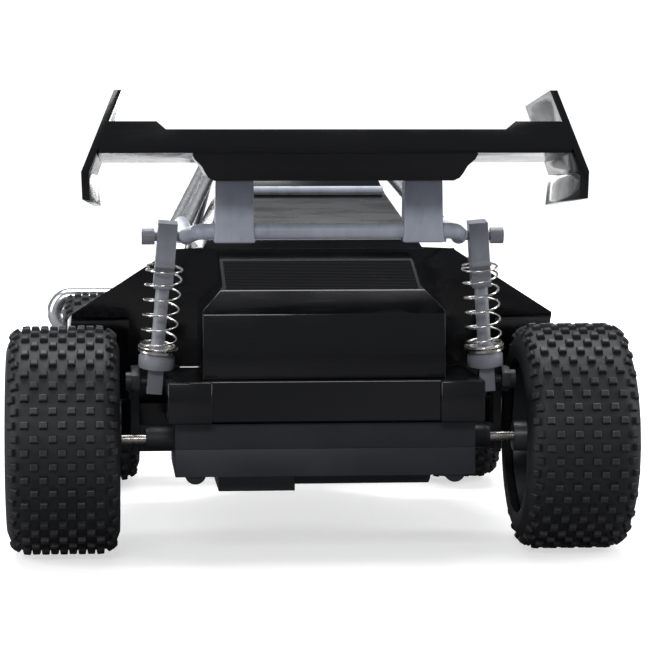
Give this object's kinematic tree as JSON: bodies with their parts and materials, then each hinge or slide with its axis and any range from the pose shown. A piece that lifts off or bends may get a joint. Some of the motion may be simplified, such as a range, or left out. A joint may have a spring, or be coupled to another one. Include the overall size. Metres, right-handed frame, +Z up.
{
  "type": "remote control car",
  "caption": "Off-road buggy with knobbed tyres, sprung rear drive unit, steered front wheels, coil shocks, tube cage and a high rear wing with end plates",
  "frame": {"origin": "on the ground under the middle of the bounding box", "axes": "+Y is the direction the car drives, +Z up, +X the car's right side"},
  "size_m": [0.1956, 0.302, 0.145],
  "materials": {
    "tyre_rubber": "matte moulded rubber",
    "rim_plastic": "satin moulded plastic",
    "gloss_black": "polished moulded plastic",
    "matte_black": "fine grained moulded plastic",
    "cabin_grey": "satin painted plastic",
    "tinted_glass": "dark tinted, polished",
    "grey_plastic": "satin moulded plastic",
    "shock_grey": "satin moulded plastic",
    "silver_plastic": "bright silver plated plastic",
    "steel": "drawn steel",
    "spring_steel": "nickel plated wire",
    "brass": "turned brass",
    "nylon": "natural nylon",
    "board_green": "solder mask",
    "cell_wrap": "shrink wrapped cells",
    "servo_black": "moulded plastic"
  },
  "bodies": {
    "chassis": {"chassis_tub": "matte_black", "battery_door": "matte_black", "battery_cells": "cell_wrap", "receiver_board": "board_green", "servo": "servo_black", "front_shock_tower": "matte_black", "front_shock_bodies": "shock_grey", "chassis_pins": "shock_grey", "body_shell": "gloss_black", "cabin": "cabin_grey", "windows": "tinted_glass", "rear_cover": "gloss_black", "rear_bumper": "gloss_black", "rear_hoop": "grey_plastic", "roll_cage": "silver_plastic", "wing_supports": "grey_plastic", "rear_wing": "gloss_black", "front_bumper": "silver_plastic", "bumper_mount": "matte_black", "front_spring_left": "spring_steel", "front_spring_right": "spring_steel"},
    "power_button": {"power_button": "grey_plastic"},
    "rear_unit": {"gearbox_base": "matte_black", "gearbox_lid": "matte_black", "gearbox_pins": "matte_black", "axle_bushes": "matte_black", "motor_can": "steel", "motor_end_bell": "nylon"},
    "rear_wheels": {"rear_axle": "steel", "rear_axle_nuts": "steel", "axle_gear": "nylon", "rear_rim_left": "rim_plastic", "rear_rim_right": "rim_plastic", "rear_tyre_left": "tyre_rubber", "rear_tyre_right": "tyre_rubber"},
    "reducer": {"reduction_gear": "nylon"},
    "rotor": {"motor_rotor": "steel", "motor_pinion": "brass"},
    "tie_bar": {"tie_bar": "matte_black"},
    "steering_lever": {"steering_lever": "nylon"},
    "rear_shock_left": {"rear_shock_body_left": "shock_grey", "rear_spring_left": "spring_steel"},
    "rear_rod_left": {"rear_shock_rod_left": "shock_grey"},
    "front_arm_left": {"front_arm_left": "matte_black", "front_arm_pins_left": "steel"},
    "front_rod_left": {"front_shock_rod_left": "shock_grey"},
    "knuckle_left": {"knuckle_left": "matte_black", "stub_axle_left": "steel"},
    "front_wheel_left": {"front_rim_left": "rim_plastic", "front_tyre_left": "tyre_rubber"},
    "rear_shock_right": {"rear_shock_body_right": "shock_grey", "rear_spring_right": "spring_steel"},
    "rear_rod_right": {"rear_shock_rod_right": "shock_grey"},
    "front_arm_right": {"front_arm_right": "matte_black", "front_arm_pins_right": "steel"},
    "front_rod_right": {"front_shock_rod_right": "shock_grey"},
    "knuckle_right": {"knuckle_right": "matte_black", "stub_axle_right": "steel"},
    "front_wheel_right": {"front_rim_right": "rim_plastic", "front_tyre_right": "tyre_rubber"}
  },
  "joints": [
    {"name": "rear_swing", "type": "hinge", "parent": "chassis", "child": "rear_unit", "pos_m": [0, -0.045, 0.032], "axis": [-1, 0, 0], "range_deg": [0, 8], "stiffness_Nm_per_rad": 1.6, "springref_deg": -11.46},
    {"name": "rear_axle_spin", "type": "hinge", "parent": "rear_unit", "child": "rear_wheels", "pos_m": [0, -0.083, 0.036], "axis": [-1, 0, 0], "continuous": true},
    {"name": "reducer_spin", "type": "hinge", "parent": "rear_unit", "child": "reducer", "pos_m": [-0.019, -0.09139, 0.04915], "axis": [-1, 0, 0], "continuous": true},
    {"name": "rotor_spin", "type": "hinge", "parent": "rear_unit", "child": "rotor", "pos_m": [0.005, -0.0982, 0.0375], "axis": [-1, 0, 0], "continuous": true},
    {"name": "rear_tilt_left", "type": "hinge", "parent": "chassis", "child": "rear_shock_left", "pos_m": [-0.0482, -0.102, 0.1008], "axis": [1, 0, 0], "range_deg": [0, 8]},
    {"name": "rear_stroke_left", "type": "slide", "parent": "rear_shock_left", "child": "rear_rod_left", "axis": [0.0826, -0.1522, 0.9849], "range_m": [0, 0.0064], "deforming": ["rear_spring_left"]},
    {"name": "front_arm_left", "type": "hinge", "parent": "chassis", "child": "front_arm_left", "pos_m": [-0.026, 0.097, 0.028], "axis": [0, 1, 0], "range_deg": [0, 6], "stiffness_Nm_per_rad": 0.7, "springref_deg": -11.46},
    {"name": "front_stroke_left", "type": "slide", "parent": "chassis", "child": "front_rod_left", "axis": [0.3401, 0, 0.9404], "range_m": [0, 0.0028], "deforming": ["front_spring_left"]},
    {"name": "steer_left", "type": "hinge", "parent": "front_arm_left", "child": "knuckle_left", "pos_m": [-0.057, 0.097, 0.036], "axis": [0, 0, 1], "range_deg": [-20, 20]},
    {"name": "front_wheel_left", "type": "hinge", "parent": "knuckle_left", "child": "front_wheel_left", "pos_m": [-0.0685, 0.097, 0.036], "axis": [-1, 0, 0], "continuous": true},
    {"name": "rear_tilt_right", "type": "hinge", "parent": "chassis", "child": "rear_shock_right", "pos_m": [0.0482, -0.102, 0.1008], "axis": [1, 0, 0], "range_deg": [0, 8]},
    {"name": "rear_stroke_right", "type": "slide", "parent": "rear_shock_right", "child": "rear_rod_right", "axis": [-0.0826, -0.1522, 0.9849], "range_m": [0, 0.0064], "deforming": ["rear_spring_right"]},
    {"name": "front_arm_right", "type": "hinge", "parent": "chassis", "child": "front_arm_right", "pos_m": [0.026, 0.097, 0.028], "axis": [0, -1, 0], "range_deg": [0, 6], "stiffness_Nm_per_rad": 0.7, "springref_deg": -11.46},
    {"name": "front_stroke_right", "type": "slide", "parent": "chassis", "child": "front_rod_right", "axis": [-0.3401, 0, 0.9404], "range_m": [0, 0.0028], "deforming": ["front_spring_right"]},
    {"name": "steer_right", "type": "hinge", "parent": "front_arm_right", "child": "knuckle_right", "pos_m": [0.057, 0.097, 0.036], "axis": [0, 0, 1], "range_deg": [-20, 20]},
    {"name": "front_wheel_right", "type": "hinge", "parent": "knuckle_right", "child": "front_wheel_right", "pos_m": [0.0685, 0.097, 0.036], "axis": [-1, 0, 0], "continuous": true},
    {"name": "tie_bar_slide", "type": "slide", "parent": "chassis", "child": "tie_bar", "axis": [1, 0, 0], "range_m": [-0.0046, 0.0046]},
    {"name": "steering_lever", "type": "hinge", "parent": "chassis", "child": "steering_lever", "pos_m": [0, 0.067, 0.046], "axis": [0, 0, 1], "range_deg": [-16, 16]},
    {"name": "power_slide", "type": "slide", "parent": "chassis", "child": "power_button", "axis": [1, 0, 0], "range_m": [0, 0.004]}
  ],
  "couplings": [
    {"joint": "reducer_spin", "follows": "rear_axle_spin", "ratio": -3.3333},
    {"joint": "rotor_spin", "follows": "rear_axle_spin", "ratio": 13.333},
    {"joint": "rear_tilt_left", "follows": "rear_swing", "ratio": 0.8185},
    {"joint": "rear_stroke_left", "follows": "rear_swing", "m_per_rad": 0.042537},
    {"joint": "front_stroke_left", "follows": "front_arm_left", "m_per_rad": 0.0241},
    {"joint": "rear_tilt_right", "follows": "rear_swing", "ratio": 0.8185},
    {"joint": "rear_stroke_right", "follows": "rear_swing", "m_per_rad": 0.042537},
    {"joint": "front_stroke_right", "follows": "front_arm_right", "m_per_rad": 0.0241},
    {"joint": "steer_right", "follows": "steer_left", "ratio": 1},
    {"joint": "tie_bar_slide", "follows": "steer_left", "m_per_rad": 0.012738},
    {"joint": "steering_lever", "follows": "steer_left", "ratio": -0.75809}
  ]
}
